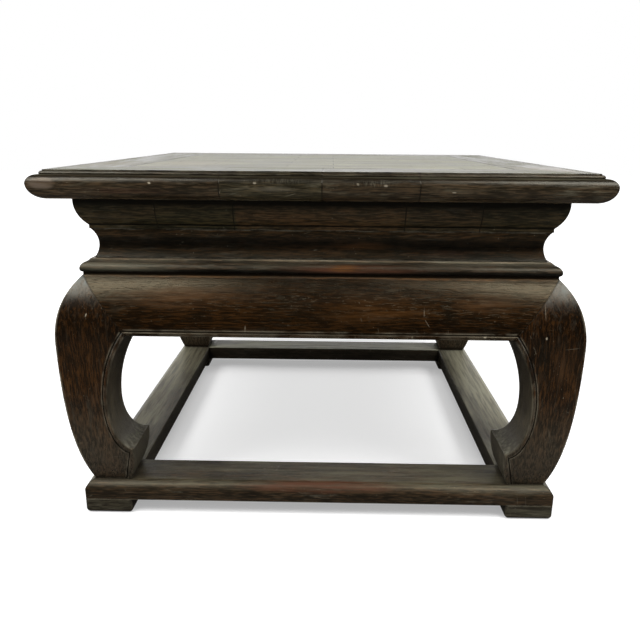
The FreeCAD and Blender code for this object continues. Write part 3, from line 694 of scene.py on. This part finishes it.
def piecedTones(tree, node, place, run):
    if node in blocks:
        tone, seams = blockTones(tree, place, node.rsplit("_", 1)[1], *blocks[node])
        return tone, vectorCalc(tree, "MULTIPLY", tone, (1 / blockPlan["plain"],) * 3), seams
    if node == "top_panel":
        board = useGroup(tree, boardGroup, {"Vector": run})
        return board["Tone"], ease(tree, board["Tone"], 0.0, 1.0, *boardPlan["tones"]), board["Seam"]
    return None, None, None


def innerColour(tree, grain, tints):
    streaked = ease(tree, grain["Streak"], *woodPlan["innerStreak"])
    plain = mixColour(tree, streaked, tints["inner"], tints["dark"])
    return mixColour(tree, ease(tree, grain["Fibre"], *woodPlan["innerFibre"]), plain, tints["dark"])


def legFilm(tree, place, grain, amount, pale):
    level = split(tree, place)["Z"]
    worked = ease(tree, grain["Fibre"], *legPlan["kickedFibre"])
    kicked = calc(tree, "MULTIPLY", ease(tree, level, *legPlan["kickedRange"]), worked)
    pale = mixColour(tree, ease(tree, level, *legPlan["lowRange"]), colour(legPlan["lowDust"]), pale)
    return calc(tree, "MAXIMUM", amount, kicked), pale


def seamMask(tree, node, place, grain, joint, seams):
    if node == "top_panel":
        return seams  # the panel has its board seams only, and no mitres
    seam = useGroup(tree, jointGroup, {"Vector": place, "Width": woodPlan["seamWidth"]})[joint]
    seam = calc(tree, "MULTIPLY", seam, ease(tree, grain["Streak"], *woodPlan["seamRange"]))
    return seam if seams is None else calc(tree, "MAXIMUM", seam, seams)


def bumpOf(tree, grain, scuff, seam, settings):
    parts = [(grain["Fibre"], heightPlan["fibre"]), (grain["Pores"], heightPlan["pores"]),
             (scuff, heightPlan["scuffs"]), (seam, heightPlan["seams"])]
    height = addUp(tree, calc(tree, "MULTIPLY", grain["Streak"], heightPlan["streak"]), parts)
    return addNode(tree, "Bump", None, {**settings, "Height": height}).outputs[0]


def timber(node, finish, turn, shift):
    material = newMaterial(node + "_finish")
    tree = material.node_tree
    legged = node.startswith("leg")
    family = node.rsplit("_", 2 if node.startswith(("leg", "foot")) else 1)[0]
    joint = "Sloped" if family in ("leg", "apron") else "Square"
    tints = {name: colour(finish[name]) for name in ("dark", "body", "warm", "wornAndHighlight", "inner", "dustAndHighlight")}
    dark, wornAndHighlight = tints["dark"], tints["wornAndHighlight"]
    place = addNode(tree, "TexCoord").outputs["Object"]
    run = addNode(tree, "Mapping", None, {"Vector": place, "Rotation": turn, "Location": shift}).outputs[0]
    grain = useGroup(tree, grainGroup, {"Vector": run})
    scuffs = useGroup(tree, scuffGroup, {"Vector": run})
    edges = useGroup(tree, rubAndHighlightGroup, {"Vector": run, "Width": finish["rubAndHighlightWidth"]})

    base = grainColour(tree, grain, tints)
    tone, change, seams = piecedTones(tree, node, place, run)
    if seams is not None:
        base = mixColour(tree, 1.0, base, change, "MULTIPLY")
    inner = useGroup(tree, innerGroup, {"Vector": place, "Axes": (1, 0, 0) if legged else (1, 1, 0)})["Inner"]
    base = cover(tree, base, inner, woodPlan["innerShare"], innerColour(tree, grain, tints))
    base = cover(tree, base, scuffs["Haze"], finish["haze"], wornAndHighlight)

    # dust, and on the legs' shoulders and the top a painted highlight
    dustAndHighlight = useGroup(tree, dustAndHighlightGroup, {"Vector": run, "Reach": finish["dustAndHighlightReach"]})["Dust"]
    amount, pale = calc(tree, "MULTIPLY", dustAndHighlight, finish["dustAndHighlightAmount"]), tints["dustAndHighlight"]
    if seams is not None:
        amount = calc(tree, "MULTIPLY", amount, ease(tree, tone, *woodPlan["piecedDustAndHighlight"]))
    if legged:
        amount, pale = legFilm(tree, place, grain, amount, pale)
    base = mixColour(tree, amount, base, pale)
    base = cover(tree, base, scuffs["Scuff"], woodPlan["scuffs"], wornAndHighlight)
    # painted shade and highlight by level
    if family in paintedLightLevels:
        base = mixColour(tree, 1.0, base, paintedLightTones(tree, place, grain, *paintedLightLevels[family]), "MULTIPLY")

    # wear and painted highlight along the edges, kept off the joints
    quiet = useGroup(tree, jointGroup, {"Vector": place, "Width": woodPlan["quietWidth"]})[joint]
    rubAndHighlight = calc(tree, "MULTIPLY", edges["Rub"], calc(tree, "SUBTRACT", 1.0, quiet))
    base = cover(tree, base, rubAndHighlight, finish["rubAndHighlight"], wornAndHighlight)
    base = placedMarks(tree, place, base, marks.get(node, ()), grain["Streak"])
    seam = seamMask(tree, node, place, grain, joint, seams)
    base = mixColour(tree, seam, base, dark)
    roughParts = [(grain["Streak"], roughPlan["streak"]), (amount, finish["filmRough"]),
                  (scuffs["Haze"], roughPlan["haze"])]
    # painted shade along the top's rim, and the darker band along the panel's edge
    if node.startswith(("top_rail", "top_panel")):
        lines = useGroup(tree, topLineGroup, {"Vector": place})
        base = mixColour(tree, lines["Line"], base, dark)
        if family == "top_rail":
            roughParts.append((lines["Level"], roughPlan["top"]))
    # grime and painted shade in hollows and under overhangs
    grimeAndShade = useGroup(tree, grimeAndShadeGroup, {"Distance": finish["grimeAndShadeReach"]})["Grime"]
    base = cover(tree, base, grimeAndShade, finish["grimeAndShade"], dark)

    roughParts += [(inner, roughPlan["inner"]), (grimeAndShade, roughPlan["grimeAndShade"])]
    rough = addUp(tree, finish["roughness"] - roughPlan["streak"] / 2, roughParts)
    eased = {"Normal": edges["Normal"]} if legged else {}  # the legs keep their mesh, so shading eases it
    bump = bumpOf(tree, grain, scuffs["Scuff"], seam, {**bumpPlan, **eased})
    shader = addNode(tree, "BsdfPrincipled", None, {"Base Color": base, "Roughness": rough, "Normal": bump})
    shader.inputs["Specular IOR Level"].default_value = finish["gloss"]
    shader.inputs["Specular Tint"].default_value = colour(finish["sheen"])
    addNode(tree, "OutputMaterial", None, {"Surface": shader.outputs[0]})
    return material


wornPlan = {"edge": 0.0006, "segments": 2, "profile": 0.5, "merge": 1e-6,
            "flatAngle": 0.4, "sharpAngle": 24.0}  # metres and degrees


def isSharp(edge, angle):
    return len(edge.link_faces) == 2 and edge.calc_face_angle(0) > angle


def wornCopy(node, plan):
    source = frame["nodes"][node]
    shape = bmesh.new()
    shape.from_mesh(source.data)
    bmesh.ops.remove_doubles(shape, verts=shape.verts, dist=plan["merge"])
    bmesh.ops.dissolve_limit(shape, angle_limit=math.radians(plan["flatAngle"]), verts=shape.verts,
                             edges=shape.edges)
    sharp = [edge for edge in shape.edges if isSharp(edge, math.radians(plan["sharpAngle"]))]
    bmesh.ops.bevel(shape, geom=sharp, offset=plan["edge"], offset_type="OFFSET", segments=plan["segments"],
                    profile=plan["profile"], affect="EDGES", clamp_overlap=True, material=-1)
    for axis in range(3):
        reach = [vert.co[axis] for vert in source.data.vertices]
        least, most = min(reach), max(reach)
        for vert in shape.verts:
            vert.co[axis] = min(max(vert.co[axis], least), most)
    mesh = bpy.data.meshes.new(node + "_worn")
    shape.to_mesh(mesh)
    shape.free()
    mesh.shade_smooth()
    piece = bpy.data.objects.new(node + "_worn", mesh)
    scene.collection.objects.link(piece)
    evened = piece.modifiers.new("evenShading", "WEIGHTED_NORMAL")
    evened.keep_sharp = True
    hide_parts(node)
    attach(piece, "root")
    return piece


grainTurns = {"x": (0, 0, 0), "y": (0, 0, math.pi / 2), "z": (0, math.pi / 2, 0)}
grainStep = (1.37, 0.71, 0.53)  # metres from one node's grain to the next one's


def grainWay(node):
    if node.startswith("leg"):
        return "z"
    sideways = node.endswith(("_left", "_right")) and not node.startswith("foot")
    return "y" if sideways else "x"


slots = {row["node"]: row["material_slot"] for row in frame["record"]["subparts"]}
for count, (node, slot) in enumerate(sorted(slots.items())):
    piece = frame["nodes"][node] if node.startswith("leg") else wornCopy(node, wornPlan)
    shift = tuple(count * step for step in grainStep)
    finish = timber(node, finishOf(node, slot), grainTurns[grainWay(node)], shift)
    piece.data.materials.clear()
    piece.data.materials.append(finish)
print("pieces dressed")
